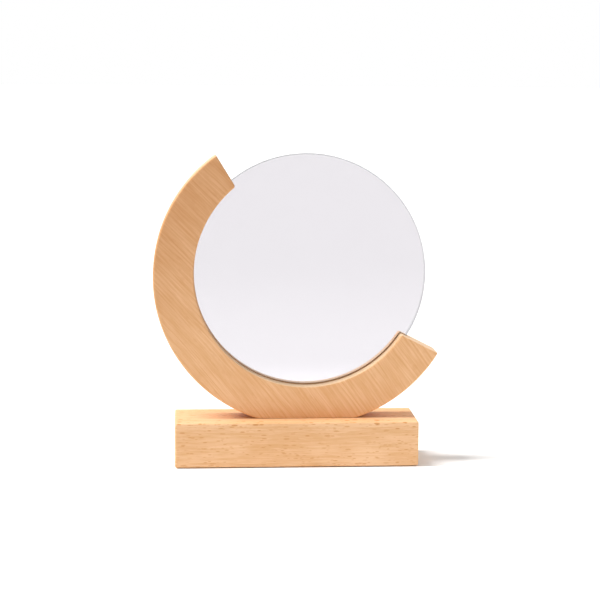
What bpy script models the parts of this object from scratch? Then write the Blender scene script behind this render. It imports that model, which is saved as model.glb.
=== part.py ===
"""Countertop mirror: a round mirror in a grooved beech crescent that stands on a beech block.

Metres, +Z up. The origin is on the table, under the middle of the whole mirror. The mirror faces -Y.
"""
import math

import bmesh
import bpy
from mathutils import Matrix, Vector

MM = 0.001
FIT_GAP = 0.3 * MM              # left between pieces that touch
OVERCUT = 1 * MM                # how far a cutter runs past the face it opens
SAME_PLACE = 0.01 * MM          # points closer than this count as one

# Mirror
MIRROR_RADIUS = 100 * MM
GLASS_THICKNESS = 4 * MM
GLASS_ARRIS = 1 * MM            # polished round on the edge of the glass
GLASS_ARRIS_SEGMENTS = 3
SILVER_THICKNESS = 0.2 * MM
FILM_THICKNESS = 0.4 * MM
COATING_MARGIN = 0.4 * MM       # the silver and the film stop short of the glass edge

# Crescent frame. Its places are counted from the mirror's centre, in X and Z.
FRAME_INNER_RADIUS = 94 * MM
OUTER_CENTRE = Vector((0.3, -2.5)) * MM
OUTER_RADII = Vector((128, 125.3)) * MM     # the outer outline is a little flatter than a circle
CUT_CENTRE = Vector((-12.6, -3.5)) * MM     # the two end cuts run out from here
CUT_START = math.radians(121.7)             # upper left end, counted from +X towards +Z
CUT_END = math.radians(333)                 # lower right end, past the foot
FRAME_DEPTH = 25 * MM
FRAME_ROUNDING = 1.5 * MM
FRAME_ROUNDING_SEGMENTS = 3
FRONT_LIP = 9.5 * MM
GROOVE_RADIUS = 102 * MM
GROOVE_WIDTH = 6 * MM
FRAME_CENTRE_Z = 159 * MM

# Base block
BASE_WIDTH = 202.5 * MM
BASE_DEPTH = 60 * MM
BASE_TOP_Z = 38 * MM
BASE_ROUNDING = 1.5 * MM
BASE_ROUNDING_SEGMENTS = 3
FRAME_OFFSET = 8.6 * MM         # the frame's centre lies this far right of the block's middle

# Felt feet, let into the underside of the block
FOOT_RADIUS = 8 * MM
FOOT_THICKNESS = 1.5 * MM
FOOT_PROUD = 0.5 * MM
FOOT_INSET_X = 15 * MM
FOOT_INSET_Y = 12 * MM

# Wood screws and dowels that join the frame to the block
SCREW_SPACING = 60 * MM
SCREW_LENGTH = 40 * MM
SCREW_RADIUS = 2.25 * MM
SCREW_SHANK_RADIUS = 2.1 * MM
SCREW_PITCH = 2.5 * MM
SCREW_THREAD_DEPTH = 0.6 * MM
SCREW_THREAD_SLOPE = 4          # one over the half width of the ridge, in turns
SCREW_THREAD_LENGTH = 26 * MM
SCREW_TIP_LENGTH = 5 * MM
SCREW_HEAD_RADIUS = 4.6 * MM
SCREW_HEAD_HEIGHT = 3 * MM
SCREW_DOME_TURNS = (20, 45, 70)     # where the dome of the head has its corners, in degrees
RECESS_WIDTH = 1.1 * MM         # cross recess in the screw head
RECESS_REACH = 2.3 * MM
RECESS_DEPTH = 1.6 * MM
WASHER_RADIUS = 6 * MM
WASHER_THICKNESS = 1.2 * MM
COUNTERBORE_DEPTH = 12 * MM
DOWEL_SPACING = 28 * MM
DOWEL_RADIUS = 4 * MM
DOWEL_LENGTH = 25 * MM
DOWEL_DEPTH_IN_BASE = 14 * MM
DOWEL_FLUTE_DEPTH = 0.3 * MM
DOWEL_CHAMFER = 0.8 * MM
DOWEL_SEGMENTS = 36
DOWEL_FLUTE_EVERY = 3

# Setting pads that centre the mirror in its groove
PAD_COUNT = 5
PAD_SPAN = math.radians(5)
PAD_STEPS = 4
FIRST_PAD = math.radians(142)
LAST_PAD = math.radians(315)

# Fineness of the round shapes
RING_STEPS = 72
DISC_SEGMENTS = 128
BORE_SEGMENTS = 32
SCREW_SEGMENTS = 12
SMOOTH_BELOW = math.radians(30)     # flatter edges than this are shaded smooth
ROUND_ABOVE = math.radians(40)      # sharper edges than this are rounded


def reach(start, way, centre, radii):
    """How far it is from a start inside an ellipse, along a unit vector, to the ellipse."""
    place = Vector(((start.x - centre.x) / radii.x, (start.y - centre.y) / radii.y))
    step = Vector((way.x / radii.x, way.y / radii.y))
    half = place.dot(step)
    root = math.sqrt(half ** 2 - step.length_squared * (place.length_squared - 1))
    return (root - half) / step.length_squared


def frame_reach_right():
    """How far right of the mirror's centre the rounded lower right corner of the frame lies."""
    way = Vector((math.cos(CUT_END), math.sin(CUT_END)))
    start = CUT_CENTRE + FRAME_ROUNDING * Vector((way.y, -way.x))
    radii = OUTER_RADII - Vector((FRAME_ROUNDING, FRAME_ROUNDING))
    return start.x + way.x * reach(start, way, OUTER_CENTRE, radii) + FRAME_ROUNDING


# Places that follow from the sizes
FRAME_REACH_LEFT = OUTER_RADII.x - OUTER_CENTRE.x
FRAME_CENTRE = Vector(((FRAME_REACH_LEFT - frame_reach_right()) / 2, 0, FRAME_CENTRE_Z))
BASE_CENTRE_X = FRAME_CENTRE.x - FRAME_OFFSET
BASE_BOTTOM_Z = FOOT_PROUD
BASE_HEIGHT = BASE_TOP_Z - BASE_BOTTOM_Z
FRAME_FRONT_Y = -FRAME_DEPTH / 2
GROOVE_FRONT_Y = FRAME_FRONT_Y + FRONT_LIP
GLASS_FRONT_Y = GROOVE_FRONT_Y + FIT_GAP
SILVER_FRONT_Y = GLASS_FRONT_Y + GLASS_THICKNESS + FIT_GAP
FILM_FRONT_Y = SILVER_FRONT_Y + SILVER_THICKNESS + FIT_GAP
COUNTERBORE_TOP_Z = BASE_BOTTOM_Z + COUNTERBORE_DEPTH
WASHER_TOP_Z = COUNTERBORE_TOP_Z - FIT_GAP
SCREW_SEAT_Z = WASHER_TOP_Z - WASHER_THICKNESS - FIT_GAP
DOWEL_BOTTOM_Z = BASE_TOP_Z - DOWEL_DEPTH_IN_BASE


def clear_scene():
    for obj in list(bpy.data.objects):
        bpy.data.objects.remove(obj, do_unlink=True)


def make_collection(name):
    collection = bpy.data.collections.new(name)
    bpy.context.scene.collection.children.link(collection)
    return collection


def make_material(name, colour, roughness, metallic=0.0, transmission=0.0):
    material = bpy.data.materials.new(name)
    material.use_nodes = True
    material.diffuse_color = (*colour, 1.0)
    shader = material.node_tree.nodes["Principled BSDF"]
    shader.inputs["Base Color"].default_value = (*colour, 1.0)
    shader.inputs["Roughness"].default_value = roughness
    shader.inputs["Metallic"].default_value = metallic
    shader.inputs["Transmission Weight"].default_value = transmission
    return material


clear_scene()
PARTS = make_collection("countertop_mirror")
CUTTERS = make_collection("cutters")

FRAME_BEECH = make_material("frame_beech", (0.72, 0.39, 0.18), 0.42)
BASE_BEECH = make_material("base_beech", (0.83, 0.51, 0.27), 0.45)
DOWEL_BEECH = make_material("dowel_beech", (0.75, 0.52, 0.32), 0.6)
CLEAR_GLASS = make_material("clear_glass", (0.90, 0.96, 0.94), 0.02, transmission=1.0)
SILVER = make_material("silver", (0.93, 0.93, 0.93), 0.02, metallic=1.0)
GREY_FILM = make_material("grey_film", (0.30, 0.32, 0.34), 0.5)
CLEAR_VINYL = make_material("clear_vinyl", (0.80, 0.80, 0.78), 0.35)
ZINC_STEEL = make_material("zinc_steel", (0.66, 0.64, 0.58), 0.32, metallic=1.0)
FELT = make_material("felt", (0.14, 0.10, 0.07), 0.95)


def add_object(name, bm, collection=PARTS, material=None, location=(0, 0, 0)):
    """Make an object of a bmesh, with its faces pointing out."""
    bmesh.ops.recalc_face_normals(bm, faces=bm.faces)
    mesh = bpy.data.meshes.new(name)
    bm.to_mesh(mesh)
    bm.free()
    obj = bpy.data.objects.new(name, mesh)
    obj.location = location
    collection.objects.link(obj)
    if material:
        mesh.materials.append(material)
    return obj


def smooth_round_faces(obj):
    obj.data.shade_smooth()
    obj.data.set_sharp_from_angle(angle=SMOOTH_BELOW)


def add_bevel(obj, width, segments):
    bevel = obj.modifiers.new("rounding", "BEVEL")
    bevel.width = width
    bevel.segments = segments
    bevel.limit_method = "ANGLE"
    bevel.angle_limit = ROUND_ABOVE


def cut(obj, cutter):
    cutter.hide_render = True
    cutter.display_type = "WIRE"
    boolean = obj.modifiers.new(cutter.name, "BOOLEAN")
    boolean.operation = "DIFFERENCE"
    boolean.solver = "EXACT"
    boolean.object = cutter


def box_bmesh(size):
    bm = bmesh.new()
    bmesh.ops.create_cube(bm, size=1.0)
    bmesh.ops.scale(bm, vec=size, verts=bm.verts)
    return bm


def cylinder_bmesh(radius, height, segments):
    """A cylinder along Z, standing on the XY plane."""
    bm = bmesh.new()
    bmesh.ops.create_cone(bm, cap_ends=True, segments=segments, radius1=radius, radius2=radius,
                          depth=height, matrix=Matrix.Translation((0, 0, height / 2)))
    return bm


def facing_back(bm):
    """Turn a shape that rises along Z so that it runs back along +Y."""
    bmesh.ops.rotate(bm, verts=bm.verts, cent=(0, 0, 0), matrix=Matrix.Rotation(-math.pi / 2, 3, "X"))
    return bm


def turned_bmesh(profile, segments):
    """Spin a profile of (radius, height) points from axis to axis round Z."""
    bm = bmesh.new()
    verts = [bm.verts.new((radius, 0, height)) for radius, height in profile]
    edges = [bm.edges.new(pair) for pair in zip(verts, verts[1:])]
    bmesh.ops.spin(bm, geom=verts + edges, cent=(0, 0, 0), axis=(0, 0, 1), angle=math.tau,
                   steps=segments, use_merge=True)
    bmesh.ops.remove_doubles(bm, verts=bm.verts, dist=SAME_PLACE)
    return bm


def bar_bmesh(sections, front_y, depth):
    """A bar through sections, each an inner and an outer point in X and Z."""
    bm = bmesh.new()
    rings = []
    for inner, outer in sections:
        corners = ((inner, front_y), (outer, front_y), (outer, front_y + depth), (inner, front_y + depth))
        rings.append([bm.verts.new((point.x, y, point.y)) for point, y in corners])
    for ring, following in zip(rings, rings[1:]):
        for index in range(len(ring)):
            after = (index + 1) % len(ring)
            bm.faces.new((ring[index], ring[after], following[after], following[index]))
    bm.faces.new(rings[0])
    bm.faces.new(rings[-1])
    return bm


def turns(start, end, steps):
    """Unit vectors in X and Z from one angle to another."""
    angles = [start + (end - start) * step / steps for step in range(steps + 1)]
    return [Vector((math.cos(angle), math.sin(angle))) for angle in angles]


def frame_sections():
    inner_centre = Vector((0, 0))
    inner_radii = Vector((FRAME_INNER_RADIUS, FRAME_INNER_RADIUS))
    sections = []
    for way in turns(CUT_START, CUT_END, RING_STEPS):
        inner = CUT_CENTRE + way * reach(CUT_CENTRE, way, inner_centre, inner_radii)
        outer = CUT_CENTRE + way * reach(CUT_CENTRE, way, OUTER_CENTRE, OUTER_RADII)
        sections.append((inner, outer))
    return sections


def join_places():
    """The two sides of the foot, as a name and a direction."""
    return (("left", -1), ("right", 1))


def bore(name, x, bottom_z, top_z, radius):
    bm = cylinder_bmesh(radius, top_z - bottom_z, BORE_SEGMENTS)
    return add_object(name, bm, CUTTERS, location=(x, 0, bottom_z))


def foot_places():
    places = {}
    for end, x_side in (("left", -1), ("right", 1)):
        for face, y_side in (("front", -1), ("back", 1)):
            x = BASE_CENTRE_X + x_side * (BASE_WIDTH / 2 - FOOT_INSET_X)
            y = y_side * (BASE_DEPTH / 2 - FOOT_INSET_Y)
            places[f"{face}_{end}"] = (x, y)
    return places


def screw_x(side):
    return FRAME_CENTRE.x + side * SCREW_SPACING / 2


def dowel_x(side):
    return FRAME_CENTRE.x + side * DOWEL_SPACING / 2


def make_base_block():
    bm = box_bmesh((BASE_WIDTH, BASE_DEPTH, BASE_HEIGHT))
    middle = (BASE_CENTRE_X, 0, BASE_BOTTOM_Z + BASE_HEIGHT / 2)
    block = add_object("base_block", bm, material=BASE_BEECH, location=middle)
    add_bevel(block, BASE_ROUNDING, BASE_ROUNDING_SEGMENTS)
    below = BASE_BOTTOM_Z - OVERCUT
    above = BASE_TOP_Z + OVERCUT
    for side_name, side in join_places():
        x = screw_x(side)
        cut(block, bore(f"counterbore_{side_name}", x, below, COUNTERBORE_TOP_Z,
                        WASHER_RADIUS + FIT_GAP))
        cut(block, bore(f"screw_hole_{side_name}", x, COUNTERBORE_TOP_Z - OVERCUT, above,
                        SCREW_RADIUS + FIT_GAP))
        cut(block, bore(f"dowel_hole_{side_name}", dowel_x(side), DOWEL_BOTTOM_Z - FIT_GAP, above,
                        DOWEL_RADIUS + FIT_GAP))
    for place, (x, y) in foot_places().items():
        recess = bore(f"foot_recess_{place}", x, below, FOOT_THICKNESS + FIT_GAP, FOOT_RADIUS + FIT_GAP)
        recess.location.y = y
        cut(block, recess)
    smooth_round_faces(block)


def make_crescent_frame():
    bm = bar_bmesh(frame_sections(), FRAME_FRONT_Y, FRAME_DEPTH)
    frame = add_object("crescent_frame", bm, material=FRAME_BEECH, location=FRAME_CENTRE)
    add_bevel(frame, FRAME_ROUNDING, FRAME_ROUNDING_SEGMENTS)

    foot_z = BASE_TOP_Z + FIT_GAP
    slab = box_bmesh((BASE_WIDTH, BASE_DEPTH, BASE_TOP_Z))
    slab_middle = (FRAME_CENTRE.x, 0, foot_z - BASE_TOP_Z / 2)
    cut(frame, add_object("foot_flat", slab, CUTTERS, location=slab_middle))

    below = foot_z - OVERCUT
    screw_top = SCREW_SEAT_Z + SCREW_LENGTH + FIT_GAP
    dowel_top = DOWEL_BOTTOM_Z + DOWEL_LENGTH + FIT_GAP
    for side_name, side in join_places():
        cut(frame, bore(f"pilot_hole_{side_name}", screw_x(side), below, screw_top,
                        SCREW_RADIUS + FIT_GAP))
        cut(frame, bore(f"frame_dowel_hole_{side_name}", dowel_x(side), below, dowel_top,
                        DOWEL_RADIUS + FIT_GAP))

    disc = facing_back(cylinder_bmesh(GROOVE_RADIUS, GROOVE_WIDTH, DISC_SEGMENTS))
    disc_place = FRAME_CENTRE + Vector((0, GROOVE_FRONT_Y, 0))
    cut(frame, add_object("mirror_groove", disc, CUTTERS, location=disc_place))
    smooth_round_faces(frame)


def make_mirror():
    glass = facing_back(cylinder_bmesh(MIRROR_RADIUS, GLASS_THICKNESS, DISC_SEGMENTS))
    glass = add_object("mirror_glass", glass, material=CLEAR_GLASS,
                       location=FRAME_CENTRE + Vector((0, GLASS_FRONT_Y, 0)))
    add_bevel(glass, GLASS_ARRIS, GLASS_ARRIS_SEGMENTS)
    smooth_round_faces(glass)

    layers = (("mirror_silvering", SILVER_FRONT_Y, SILVER_THICKNESS, SILVER),
              ("mirror_backing_film", FILM_FRONT_Y, FILM_THICKNESS, GREY_FILM))
    for name, front_y, thickness, material in layers:
        bm = facing_back(cylinder_bmesh(MIRROR_RADIUS - COATING_MARGIN, thickness, DISC_SEGMENTS))
        layer = add_object(name, bm, material=material, location=FRAME_CENTRE + Vector((0, front_y, 0)))
        smooth_round_faces(layer)


def make_setting_pads():
    for index in range(PAD_COUNT):
        middle = FIRST_PAD + index * (LAST_PAD - FIRST_PAD) / (PAD_COUNT - 1)
        ways = turns(middle - PAD_SPAN / 2, middle + PAD_SPAN / 2, PAD_STEPS)
        sections = [(way * (MIRROR_RADIUS + FIT_GAP), way * (GROOVE_RADIUS - FIT_GAP)) for way in ways]
        bm = bar_bmesh(sections, GROOVE_FRONT_Y + FIT_GAP, GROOVE_WIDTH - 2 * FIT_GAP)
        pad = add_object(f"setting_pad_{index + 1}", bm, material=CLEAR_VINYL, location=FRAME_CENTRE)
        smooth_round_faces(pad)


def screw_profile():
    """The screw's outline from its tip at the top to its head at the bottom, before threading."""
    core = SCREW_RADIUS - SCREW_THREAD_DEPTH
    thread_start = SCREW_LENGTH - SCREW_THREAD_LENGTH
    ring_step = SCREW_PITCH / 4
    profile = [(0, SCREW_LENGTH)]
    height = SCREW_LENGTH - ring_step
    while height > thread_start:
        profile.append((core * min(1, (SCREW_LENGTH - height) / SCREW_TIP_LENGTH), height))
        height -= ring_step
    profile.append((SCREW_SHANK_RADIUS, thread_start))
    profile.append((SCREW_SHANK_RADIUS, 0))
    profile.append((SCREW_HEAD_RADIUS, 0))
    for turn in SCREW_DOME_TURNS:
        angle = math.radians(turn)
        profile.append((SCREW_HEAD_RADIUS * math.cos(angle), -SCREW_HEAD_HEIGHT * math.sin(angle)))
    profile.append((0, -SCREW_HEAD_HEIGHT))
    return profile


def raise_thread(bm):
    """Push a helical ridge out of the rings between the shank and the tip."""
    for vert in bm.verts:
        radius = math.hypot(vert.co.x, vert.co.y)
        height = vert.co.z
        if radius < SAME_PLACE or height < SCREW_LENGTH - SCREW_THREAD_LENGTH + SAME_PLACE:
            continue
        turn = (height / SCREW_PITCH - math.atan2(vert.co.y, vert.co.x) / math.tau) % 1.0
        ridge = max(0.0, 1 - SCREW_THREAD_SLOPE * abs(turn - 0.5)) * SCREW_THREAD_DEPTH
        ridge *= min(1, (SCREW_LENGTH - height) / SCREW_TIP_LENGTH)
        vert.co.x *= (radius + ridge) / radius
        vert.co.y *= (radius + ridge) / radius


def cross_recess_bmesh():
    bm = bmesh.new()
    half = RECESS_WIDTH / 2
    corner = ((RECESS_REACH, -half), (RECESS_REACH, half), (half, half))
    outline = []
    for quarter in range(4):
        turn = Matrix.Rotation(quarter * math.pi / 2, 2)
        outline += [turn @ Vector(point) for point in corner]
    face = bm.faces.new([bm.verts.new((x, y, 0)) for x, y in outline])
    sides = bmesh.ops.extrude_face_region(bm, geom=[face])
    raised = [item for item in sides["geom"] if isinstance(item, bmesh.types.BMVert)]
    bmesh.ops.translate(bm, verts=raised, vec=(0, 0, RECESS_DEPTH + OVERCUT))
    return bm


def make_foot_screws():
    for side_name, side in join_places():
        bm = turned_bmesh(screw_profile(), SCREW_SEGMENTS)
        raise_thread(bm)
        place = Vector((screw_x(side), 0, SCREW_SEAT_Z))
        screw = add_object(f"foot_screw_{side_name}", bm, material=ZINC_STEEL, location=place)
        recess_place = place - Vector((0, 0, SCREW_HEAD_HEIGHT + OVERCUT))
        cut(screw, add_object(f"cross_recess_{side_name}", cross_recess_bmesh(), CUTTERS,
                              location=recess_place))
        smooth_round_faces(screw)


def make_screw_washers():
    hole_radius = SCREW_RADIUS + FIT_GAP
    for side_name, side in join_places():
        x = screw_x(side)
        bottom_z = WASHER_TOP_Z - WASHER_THICKNESS
        bm = cylinder_bmesh(WASHER_RADIUS, WASHER_THICKNESS, BORE_SEGMENTS)
        washer = add_object(f"screw_washer_{side_name}", bm, material=ZINC_STEEL, location=(x, 0, bottom_z))
        cut(washer, bore(f"washer_hole_{side_name}", x, bottom_z - OVERCUT, WASHER_TOP_Z + OVERCUT,
                         hole_radius))
        smooth_round_faces(washer)


def make_foot_dowels():
    for side_name, side in join_places():
        bm = cylinder_bmesh(DOWEL_RADIUS, DOWEL_LENGTH, DOWEL_SEGMENTS)
        rims = [edge for edge in bm.edges if abs(edge.verts[0].co.z - edge.verts[1].co.z) < SAME_PLACE]
        bmesh.ops.bevel(bm, geom=rims, offset=DOWEL_CHAMFER, segments=1, affect="EDGES")
        for vert in bm.verts:
            index = round(math.atan2(vert.co.y, vert.co.x) / math.tau * DOWEL_SEGMENTS)
            if index % DOWEL_FLUTE_EVERY == 0:
                vert.co.xy *= 1 - DOWEL_FLUTE_DEPTH / DOWEL_RADIUS
        add_object(f"foot_dowel_{side_name}", bm, material=DOWEL_BEECH,
                   location=(dowel_x(side), 0, DOWEL_BOTTOM_Z))


def make_felt_feet():
    for place, (x, y) in foot_places().items():
        bm = cylinder_bmesh(FOOT_RADIUS, FOOT_THICKNESS, BORE_SEGMENTS)
        foot = add_object(f"felt_foot_{place}", bm, material=FELT, location=(x, y, 0))
        smooth_round_faces(foot)


make_base_block()
make_crescent_frame()
make_mirror()
make_setting_pads()
make_foot_screws()
make_screw_washers()
make_foot_dowels()
make_felt_feet()
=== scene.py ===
"""Looks for the countertop mirror: two beech pieces, a silvered glass disc and the small parts inside."""
import math

import bpy
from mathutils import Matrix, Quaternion, Vector


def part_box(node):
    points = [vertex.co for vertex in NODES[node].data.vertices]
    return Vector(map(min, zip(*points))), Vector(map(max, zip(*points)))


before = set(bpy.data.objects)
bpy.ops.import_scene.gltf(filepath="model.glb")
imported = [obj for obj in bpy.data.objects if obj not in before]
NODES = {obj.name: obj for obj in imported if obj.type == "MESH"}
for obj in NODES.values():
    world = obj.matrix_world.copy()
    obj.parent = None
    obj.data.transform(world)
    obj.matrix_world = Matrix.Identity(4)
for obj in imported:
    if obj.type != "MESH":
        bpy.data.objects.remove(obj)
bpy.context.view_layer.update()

MM = 0.001

# The camera, worked out from the edges and circles of the view. Its place is counted from the
# block's middle on the table.
CAMERA_PLACE = Vector((-98.4, -1413.4, 335.3)) * MM
CAMERA_YAW = 0.07196
CAMERA_PITCH = 0.13955
CAMERA_ROLL = 0.00693
CAMERA_LENS = 102.67
CAMERA_SENSOR = 36

# The key light is a tall, narrow soft box on the left, square to the view: three suns one above another
KEY_ELEVATIONS = [math.radians(angle) for angle in (44, 57, 70)]
KEY_ANGLE = math.radians(13)
KEY_STRENGTH = 1.20
KEY_COLOUR = (1.0, 0.985, 0.97)

# The room's light on matt surfaces, near the horizon and overhead. The camera and the mirror see it white.
ROOM_LOW = 0.16
ROOM_HIGH = 0.88

# The floor's colour near the mirror and behind it, half a metre in front, and far in front: a painted pool of
# light, brightest near the mirror. It fades between these distances in front.
FLOOR_RADIUS = 20
FLOOR_NEAR = 0.95
FLOOR_FRONT = 0.66
FLOOR_FAR = 0.605
FLOOR_NEAR_FADE = (0.12, 0.50)
FLOOR_FAR_FADE = (0.35, 1.5)

# Beech, as linear colours: plain, light, warm streaks, ray flecks, and the painted light that pales faces
# looking up
BEECH = (0.780, 0.432, 0.212)
BEECH_LIGHT = (0.860, 0.510, 0.275)
BEECH_WARM = (0.690, 0.335, 0.130)
BEECH_FLECK = (0.60, 0.235, 0.066)
BEECH_PAINTED_LIGHT = (0.94, 0.76, 0.55)
BEECH_SPECULAR = 0.27

# How the colour of each piece is shifted, and the painted shade that darkens one end of a piece further
BLOCK_TINT = (1.07, 1.17, 1.27)
CRESCENT_TINT = (1.07, 1.12, 1.16)
PAINTED_SHADE_TINT = (0.87, 0.79, 0.73)

# How finely the wood varies: counts per metre along the grain, out from the pith and round the rings
WANDER_COUNTS = (9, 60, 40)
FIBRE_COUNTS = (70, 1500, 1300)
STREAK_COUNTS = (20, 720, 600)
PATCH_COUNTS = (22, 80, 80)

# Ray flecks come in two sizes, each with the spacing along the grain and between rows
LONG_FLECKS = (8.5 * MM, 1.5 * MM)
SHORT_FLECKS = (6 * MM, 0.8 * MM)
SHORT_FLECK_SHIFT = 1.0
SHORT_FLECK_STRENGTH = 0.8
FLECK_DEPTH_ROWS = 5

# Glass: its face; its polished edge, partly the glass's own dull tint and partly painted shade that darkens
# it towards the top; and what it leaves of the light behind it
GLASS_CLEAR = (0.985, 0.992, 0.988)
GLASS_EDGE_SIDE_SHADE = (0.72, 0.74, 0.73)
GLASS_EDGE_TOP_SHADE = (0.40, 0.44, 0.42)
GLASS_SHADE = (0.93, 0.94, 0.93, 1.0)
GLASS_IOR = 1.52
GLASS_EDGE_BAND = (1.2 * MM, 0.6 * MM)
GLASS_EDGE_SHADE_HEIGHTS = (20 * MM, 95 * MM)

# Silver, and a brown band painted on it where the groove hides it, a painted reflection of the wooden lip:
# how far in from the rim it starts, the direction of its middle from the disc's centre, and how far along
# that direction it starts
SILVER = (0.905, 0.872, 0.925)
SILVER_WORN = (0.897, 0.864, 0.918)
PAINTED_LIP_REFLECTION = (0.90, 0.46, 0.20)
PAINTED_LIP_REFLECTION_ROUGHNESS = 0.5
PAINTED_LIP_REFLECTION_BAND = (6.6 * MM, 6.0 * MM)
CRADLE_ANGLE = math.radians(228.5)
CRADLE_START = -8 * MM


# ---------------------------------------------------------------- node helpers

def new_material(name, roughness=0.5, metallic=0.0):
    material = bpy.data.materials.new(name)
    material.use_nodes = True
    tree = material.node_tree
    shader = tree.nodes["Principled BSDF"]
    shader.inputs["Roughness"].default_value = roughness
    shader.inputs["Metallic"].default_value = metallic
    return material, tree, shader


def add(tree, kind, inputs=None, **settings):
    """Add a node. Inputs are values or sockets, by name or by number."""
    item = tree.nodes.new(kind)
    for key, value in settings.items():
        setattr(item, key, value)
    for key, value in (inputs or {}).items():
        if isinstance(value, bpy.types.NodeSocket):
            tree.links.new(value, item.inputs[key])
        else:
            item.inputs[key].default_value = value
    return item


def calc(tree, operation, *values):
    return add(tree, "ShaderNodeMath", dict(enumerate(values)), operation=operation).outputs[0]


def calc_vector(tree, operation, *values):
    return add(tree, "ShaderNodeVectorMath", dict(enumerate(values)), operation=operation)


def remap(tree, value, low, high, to_low=0.0, to_high=1.0):
    item = add(tree, "ShaderNodeMapRange", {0: value, 1: low, 2: high, 3: to_low, 4: to_high},
               interpolation_type="SMOOTHSTEP")
    return item.outputs[0]


def mix(tree, factor, first, second, blend="MIX"):
    item = add(tree, "ShaderNodeMix", {0: factor, 6: as_rgba(first), 7: as_rgba(second)}, data_type="RGBA",
               blend_type=blend)
    return item.outputs[2]


def mix_where(tree, mask, amount, first, second):
    """The first colour, turned into the second as far as an amount where the mask is 1."""
    return mix(tree, calc(tree, "MULTIPLY", mask, amount), first, second)


def mix_shaders(tree, factor, first, second):
    mixed = add(tree, "ShaderNodeMixShader", {0: factor, 1: first.outputs[0], 2: second.outputs[0]})
    tree.links.new(mixed.outputs[0], tree.nodes["Material Output"].inputs["Surface"])


def as_rgba(colour):
    return colour if isinstance(colour, bpy.types.NodeSocket) else (*colour, 1.0)


def vector(tree, x, y, z):
    return add(tree, "ShaderNodeCombineXYZ", {0: x, 1: y, 2: z}).outputs[0]


def noise(tree, place, scale, detail=2.0, roughness=0.5):
    inputs = {"Vector": place, "Scale": scale, "Detail": detail, "Roughness": roughness}
    return add(tree, "ShaderNodeTexNoise", inputs, noise_dimensions="3D").outputs["Fac"]


def object_place(tree):
    return add(tree, "ShaderNodeTexCoord").outputs["Object"]


def bump(tree, shader, height, distance, strength):
    item = add(tree, "ShaderNodeBump", {"Height": height, "Distance": distance, "Strength": strength})
    tree.links.new(item.outputs[0], shader.inputs["Normal"])


def along(tree, place, direction, offset=0.0):
    """How far a place lies along a direction, in metres."""
    dot = calc_vector(tree, "DOT_PRODUCT", place, tuple(direction))
    return calc(tree, "ADD", dot.outputs["Value"], offset)


def middle_of(name):
    low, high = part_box(name)
    return (low + high) / 2


def finish_node(names, material):
    for name in names:
        materials = NODES[name].data.materials
        for index in range(len(materials)):
            materials[index] = material


# ---------------------------------------------------------------- beech

def wood_space(tree, grain, outward, pith_distance, origin, bend):
    """Distances along the grain, out from the pith and round the rings, in metres."""
    shifted = calc_vector(tree, "ADD", object_place(tree), tuple(-origin)).outputs[0]
    length = along(tree, shifted, grain)
    across = along(tree, shifted, outward, pith_distance)
    side = along(tree, shifted, grain.cross(outward))
    bow = calc(tree, "MULTIPLY", calc(tree, "MULTIPLY", length, length), bend)
    across = calc(tree, "ADD", across, bow)
    squares = calc(tree, "ADD", calc(tree, "MULTIPLY", across, across), calc(tree, "MULTIPLY", side, side))
    radius = calc(tree, "SQRT", squares)
    turn = calc(tree, "MULTIPLY", calc(tree, "ARCTAN2", side, across), pith_distance)
    return length, radius, turn


def wood_noise(tree, place, counts, detail, roughness=0.5):
    """Noise drawn out along the grain."""
    scaled = [calc(tree, "MULTIPLY", distance, count) for distance, count in zip(place, counts)]
    return noise(tree, vector(tree, *scaled), 1.0, detail, roughness)


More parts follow.
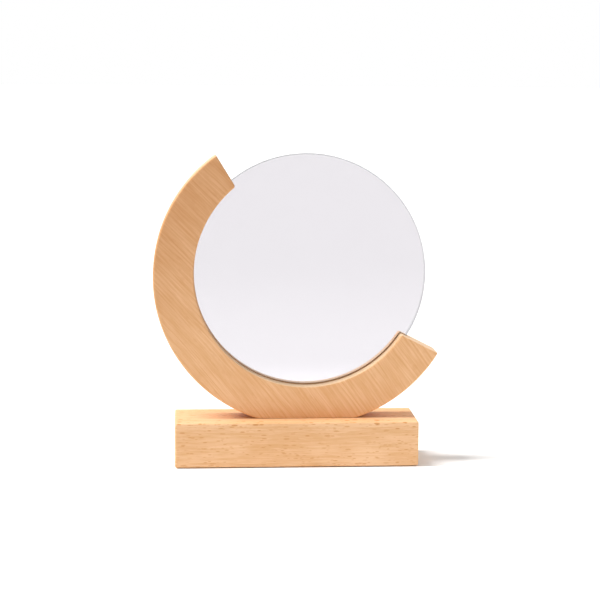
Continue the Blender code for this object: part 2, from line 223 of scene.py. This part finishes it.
def beech(name, grain, outward, pith_distance, origin, ring_width, bend=0.0, fleck=1.0, streak=1.0,
          tint=(1.0, 1.0, 1.0), painted_shade_span=None, painted_top_light=0.0):
    """Beech as a solid: year rings round a pith line, fibres and ray flecks along the grain.

    An optional pair of places along the grain darkens the wood with painted shade towards the first of them.
    An amount pales the faces that look up with painted light.
    """
    material, tree, shader = new_material(name)
    length, radius, turn = wood_space(tree, grain, outward, pith_distance, origin, bend)
    wander = wood_noise(tree, (length, radius, turn), WANDER_COUNTS, 2.0)
    drift = calc(tree, "MULTIPLY_ADD", wander, 2.2 * ring_width, radius)

    ring_number = calc(tree, "DIVIDE", drift, ring_width)
    ring_edge = calc(tree, "POWER", calc(tree, "FRACT", ring_number), 5.0)
    ring_tone = noise(tree, vector(tree, ring_number, 0.0, 0.0), 0.9, 1.0)
    fibre = wood_noise(tree, (length, drift, turn), FIBRE_COUNTS, 3.0, 0.6)
    streaks = wood_noise(tree, (length, drift, turn), STREAK_COUNTS, 2.0, 0.55)
    patches = wood_noise(tree, (length, radius, turn), PATCH_COUNTS, 2.0)

    colour = mix(tree, remap(tree, patches, 0.3, 0.7), BEECH, BEECH_LIGHT)
    warm_parts = [(remap(tree, streaks, 0.40, 0.68), 0.50), (remap(tree, ring_tone, 0.35, 0.75), 0.35),
                  (ring_edge, 0.35), (remap(tree, fibre, 0.48, 0.75), 0.55)]
    for mask, amount in warm_parts:
        colour = mix_where(tree, mask, amount * streak, colour, BEECH_WARM)
    colour = mix_where(tree, remap(tree, fibre, 0.5, 0.25), 0.6, colour, BEECH_LIGHT)

    long_flecks = ray_flecks(tree, length, drift, turn, *LONG_FLECKS)
    shifted_length = calc(tree, "ADD", length, SHORT_FLECK_SHIFT)
    short_flecks = ray_flecks(tree, shifted_length, drift, turn, *SHORT_FLECKS)
    short_flecks = calc(tree, "MULTIPLY", short_flecks, SHORT_FLECK_STRENGTH)
    flecks = calc(tree, "MAXIMUM", long_flecks, short_flecks)
    colour = mix_where(tree, flecks, fleck, colour, BEECH_FLECK)
    colour = mix(tree, 1.0, colour, tint, blend="MULTIPLY")

    # Painted light: faces that look up are paled towards a light colour, standing in for the key light's
    # brightening
    facing = add(tree, "ShaderNodeSeparateXYZ", {0: add(tree, "ShaderNodeNewGeometry").outputs["Normal"]})
    colour = mix_where(tree, remap(tree, facing.outputs["Z"], 0.3, 0.8), painted_top_light, colour, BEECH_PAINTED_LIGHT)
    # Painted shade: the wood darkens towards one end along the grain, where less light falls
    if painted_shade_span:
        colour = mix(tree, remap(tree, length, *painted_shade_span, 1.0, 0.0), colour, PAINTED_SHADE_TINT, blend="MULTIPLY")
    tree.links.new(colour, shader.inputs["Base Color"])

    rough = remap(tree, fibre, 0.2, 0.8, 0.48, 0.62)
    tree.links.new(calc(tree, "MULTIPLY_ADD", flecks, -0.08, rough), shader.inputs["Roughness"])
    bump(tree, shader, calc(tree, "MULTIPLY_ADD", flecks, -0.5, fibre), 0.06 * MM, 0.6)
    shader.inputs["Specular IOR Level"].default_value = BEECH_SPECULAR
    return material


def ray_flecks(tree, length, radius, turn, spacing, row_height):
    """Short dark dashes where the rays come out of the wood, each its own length and strength."""
    place = vector(tree, calc(tree, "MULTIPLY", length, 1 / spacing),
                   calc(tree, "MULTIPLY", radius, 1 / (FLECK_DEPTH_ROWS * row_height)),
                   calc(tree, "MULTIPLY", turn, 1 / row_height))
    cells = add(tree, "ShaderNodeTexVoronoi", {"Vector": place, "Scale": 1.0, "Randomness": 1.0},
                voronoi_dimensions="3D", feature="F1")
    shade = add(tree, "ShaderNodeSeparateColor", {0: cells.outputs["Color"]})
    reach = calc(tree, "MULTIPLY_ADD", shade.outputs[0], 0.20, 0.16)
    dash = remap(tree, calc(tree, "SUBTRACT", reach, cells.outputs["Distance"]), -0.03, 0.10)
    return calc(tree, "MULTIPLY", dash, remap(tree, shade.outputs[1], 0.2, 0.9, 0.05, 1.0))


def finish_wood():
    block_middle = middle_of("base_block")
    block = beech("block_beech", grain=Vector((1, 0, 0)), outward=Vector((0, -1, 0.12)).normalized(),
                  pith_distance=75 * MM, origin=block_middle, ring_width=2.6 * MM, tint=BLOCK_TINT)
    finish_node(["base_block"], block)

    slope = math.radians(-49)
    # The crescent gets painted shade towards its upper left end and painted light on faces that look up
    crescent = beech("crescent_beech", grain=Vector((math.cos(slope), 0, math.sin(slope))),
                     outward=Vector((-math.sin(slope), 0, math.cos(slope))), pith_distance=190 * MM,
                     origin=middle_of("mirror_glass"), ring_width=3.4 * MM, bend=0.4, fleck=0.15, streak=1.1,
                     tint=CRESCENT_TINT, painted_shade_span=(-125 * MM, 0.0), painted_top_light=0.5)
    finish_node(["crescent_frame"], crescent)

    dowel = beech("dowel_wood", grain=Vector((0, 0, 1)), outward=Vector((1, 0, 0)), pith_distance=40 * MM,
                  origin=block_middle, ring_width=1.8 * MM, fleck=0.5)
    finish_node(["foot_dowel_left", "foot_dowel_right"], dowel)


# ---------------------------------------------------------------- mirror

def disc_space(tree):
    """A place counted from the disc's middle, flat in the disc, and its distance from that middle."""
    place = calc_vector(tree, "ADD", object_place(tree), tuple(-middle_of("mirror_glass"))).outputs[0]
    flat = calc_vector(tree, "MULTIPLY", place, (1, 0, 1)).outputs[0]
    return flat, calc_vector(tree, "LENGTH", flat).outputs["Value"]


def rim_band(tree, radius, band):
    """From 0 to 1 between two distances in from the disc's rim."""
    low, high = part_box("mirror_glass")
    disc_radius = (high.x - low.x) / 2
    return remap(tree, radius, disc_radius - band[0], disc_radius - band[1])


def finish_glass():
    glass, tree, shader = new_material("float_glass", roughness=0.0)
    flat, radius = disc_space(tree)
    height = add(tree, "ShaderNodeSeparateXYZ", {0: flat}).outputs["Z"]
    # The rim band is partly the glass's own edge tint and partly painted shade, darker towards the top than
    # at the sides
    edge_tint_and_shade = mix(tree, remap(tree, height, *GLASS_EDGE_SHADE_HEIGHTS), GLASS_EDGE_SIDE_SHADE, GLASS_EDGE_TOP_SHADE)
    colour = mix(tree, rim_band(tree, radius, GLASS_EDGE_BAND), GLASS_CLEAR, edge_tint_and_shade)
    tree.links.new(colour, shader.inputs["Base Color"])
    shader.inputs["Transmission Weight"].default_value = 1.0
    shader.inputs["IOR"].default_value = GLASS_IOR
    smudge = noise(tree, object_place(tree), 45, 4.0)
    tree.links.new(remap(tree, smudge, 0.62, 0.9, 0.0, 0.02), shader.inputs["Roughness"])

    # Lamps light what is behind the glass
    clear = add(tree, "ShaderNodeBsdfTransparent", {0: GLASS_SHADE})
    mix_shaders(tree, add(tree, "ShaderNodeLightPath").outputs["Is Shadow Ray"], shader, clear)
    finish_node(["mirror_glass"], glass)


def finish_silver():
    silver, tree, shader = new_material("silvering", metallic=1.0)
    worn = noise(tree, object_place(tree), 30, 3.0)
    colour = mix(tree, remap(tree, worn, 0.4, 0.8), SILVER, SILVER_WORN)

    flat, radius = disc_space(tree)
    cradle = Vector((math.cos(CRADLE_ANGLE), 0, math.sin(CRADLE_ANGLE)))
    in_groove = calc(tree, "GREATER_THAN", along(tree, flat, cradle), CRADLE_START)
    # Painted reflection: a brown band under the lip stands in for the lip's reflection in the silver
    lip_reflection_mask = calc(tree, "MULTIPLY", in_groove, rim_band(tree, radius, PAINTED_LIP_REFLECTION_BAND))
    tree.links.new(mix(tree, lip_reflection_mask, colour, PAINTED_LIP_REFLECTION), shader.inputs["Base Color"])
    tree.links.new(calc(tree, "MULTIPLY", lip_reflection_mask, PAINTED_LIP_REFLECTION_ROUGHNESS), shader.inputs["Roughness"])
    finish_node(["mirror_silvering"], silver)


def finish_film():
    film, tree, shader = new_material("backing_film")
    place = object_place(tree)
    colour = mix(tree, noise(tree, place, 60, 3.0), (0.24, 0.26, 0.285), (0.31, 0.335, 0.36))
    tree.links.new(colour, shader.inputs["Base Color"])
    ripple = noise(tree, place, 900, 2.0)
    tree.links.new(remap(tree, ripple, 0.2, 0.8, 0.42, 0.6), shader.inputs["Roughness"])
    bump(tree, shader, ripple, 0.03 * MM, 0.5)
    finish_node(["mirror_backing_film"], film)


# ---------------------------------------------------------------- small parts

def finish_pads():
    vinyl, tree, shader = new_material("vinyl")
    grain = noise(tree, object_place(tree), 700, 2.0)
    tree.links.new(mix(tree, grain, (0.72, 0.73, 0.71), (0.80, 0.80, 0.78)), shader.inputs["Base Color"])
    tree.links.new(remap(tree, grain, 0.2, 0.8, 0.3, 0.45), shader.inputs["Roughness"])
    shader.inputs["Transmission Weight"].default_value = 0.5
    finish_node([f"setting_pad_{index}" for index in range(1, 6)], vinyl)


def finish_hardware():
    zinc, tree, shader = new_material("zinc_plate", metallic=1.0)
    place = object_place(tree)
    cloud = noise(tree, place, 380, 3.0)
    tree.links.new(mix(tree, cloud, (0.58, 0.57, 0.52), (0.74, 0.73, 0.70)), shader.inputs["Base Color"])
    tree.links.new(remap(tree, cloud, 0.2, 0.8, 0.22, 0.42), shader.inputs["Roughness"])
    bump(tree, shader, noise(tree, place, 2500, 2.0), 0.01 * MM, 0.5)
    finish_node([f"{piece}_{side}" for piece in ("foot_screw", "screw_washer") for side in ("left", "right")],
                zinc)


def finish_felt():
    felt, tree, shader = new_material("felt_pile")
    place = object_place(tree)
    fibres = noise(tree, place, 1400, 4.0, 0.7)
    clumps = noise(tree, place, 260, 3.0)
    shade = calc(tree, "MULTIPLY", fibres, calc(tree, "ADD", clumps, 0.5))
    tree.links.new(mix(tree, shade, (0.075, 0.055, 0.04), (0.20, 0.155, 0.12)), shader.inputs["Base Color"])
    tree.links.new(remap(tree, fibres, 0.2, 0.8, 0.85, 1.0), shader.inputs["Roughness"])
    shader.inputs["Sheen Weight"].default_value = 0.5
    bump(tree, shader, fibres, 0.25 * MM, 1.0)
    finish_node([f"felt_foot_{end}_{side}" for end in ("front", "back") for side in ("left", "right")], felt)


# ---------------------------------------------------------------- stage, light and camera

def make_floor():
    bpy.ops.mesh.primitive_circle_add(vertices=128, radius=FLOOR_RADIUS, fill_type="NGON")
    floor = bpy.context.active_object
    floor.name = "floor"
    material, tree, shader = new_material("floor_paper", roughness=0.9)
    place = add(tree, "ShaderNodeSeparateXYZ", {0: object_place(tree)})
    # Painted light: the floor is paler near the mirror and darker further in front, a painted pool of light
    in_front = calc(tree, "MULTIPLY", place.outputs["Y"], -1.0)
    grey = remap(tree, in_front, *FLOOR_NEAR_FADE, FLOOR_NEAR, FLOOR_FRONT)
    far_drop = remap(tree, in_front, *FLOOR_FAR_FADE, 0.0, FLOOR_FRONT - FLOOR_FAR)
    grey = calc(tree, "SUBTRACT", grey, far_drop)
    tree.links.new(vector(tree, grey, grey, grey), shader.inputs["Base Color"])
    shader.inputs["Specular IOR Level"].default_value = 0.0

    # From below, the floor lets the part be seen
    underside = add(tree, "ShaderNodeNewGeometry").outputs["Backfacing"]
    mix_shaders(tree, underside, shader, add(tree, "ShaderNodeBsdfTransparent"))
    floor.data.materials.append(material)


def make_room():
    world = bpy.data.worlds.new("studio")
    bpy.context.scene.world = world
    world.use_nodes = True
    tree = world.node_tree
    background = tree.nodes["Background"]
    background.inputs["Color"].default_value = (1.0, 1.0, 1.0, 1.0)
    way = add(tree, "ShaderNodeSeparateXYZ", {0: add(tree, "ShaderNodeTexCoord").outputs["Generated"]})
    on_surfaces = add(tree, "ShaderNodeLightPath").outputs["Is Diffuse Ray"]
    room = add(tree, "ShaderNodeMapRange", {0: way.outputs["Z"], 3: ROOM_LOW, 4: ROOM_HIGH}).outputs[0]
    strength = add(tree, "ShaderNodeMix", {0: on_surfaces, 2: 1.0, 3: room}).outputs[0]
    tree.links.new(strength, background.inputs["Strength"])


def make_key_light():
    for elevation in KEY_ELEVATIONS:
        key = bpy.data.lights.new("key", "SUN")
        key.energy = KEY_STRENGTH
        key.angle = KEY_ANGLE
        key.color = KEY_COLOUR
        lamp = bpy.data.objects.new("key", key)
        travel = Vector((math.cos(elevation), 0, -math.sin(elevation)))
        lamp.rotation_euler = travel.to_track_quat("-Z", "Y").to_euler()
        lamp.visible_glossy = False
        lamp.visible_transmission = False
        bpy.context.scene.collection.objects.link(lamp)


def make_camera():
    low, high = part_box("base_block")
    forward = Vector((math.sin(CAMERA_YAW) * math.cos(CAMERA_PITCH),
                      math.cos(CAMERA_YAW) * math.cos(CAMERA_PITCH), -math.sin(CAMERA_PITCH)))
    camera = bpy.data.objects.new("camera", bpy.data.cameras.new("camera"))
    camera.data.lens = CAMERA_LENS
    camera.data.sensor_width = CAMERA_SENSOR
    camera.location = CAMERA_PLACE + Vector(((low.x + high.x) / 2, 0, 0))
    aim = forward.to_track_quat("-Z", "Y") @ Quaternion((0, 0, 1), CAMERA_ROLL)
    camera.rotation_euler = aim.to_euler()
    bpy.context.scene.collection.objects.link(camera)
    bpy.context.scene.camera = camera


finish_wood()
finish_glass()
finish_silver()
finish_film()
finish_pads()
finish_hardware()
finish_felt()
make_floor()
make_room()
make_key_light()
make_camera()
bpy.context.scene.view_settings.view_transform = "Standard"
bpy.context.scene.cycles.use_denoising = True
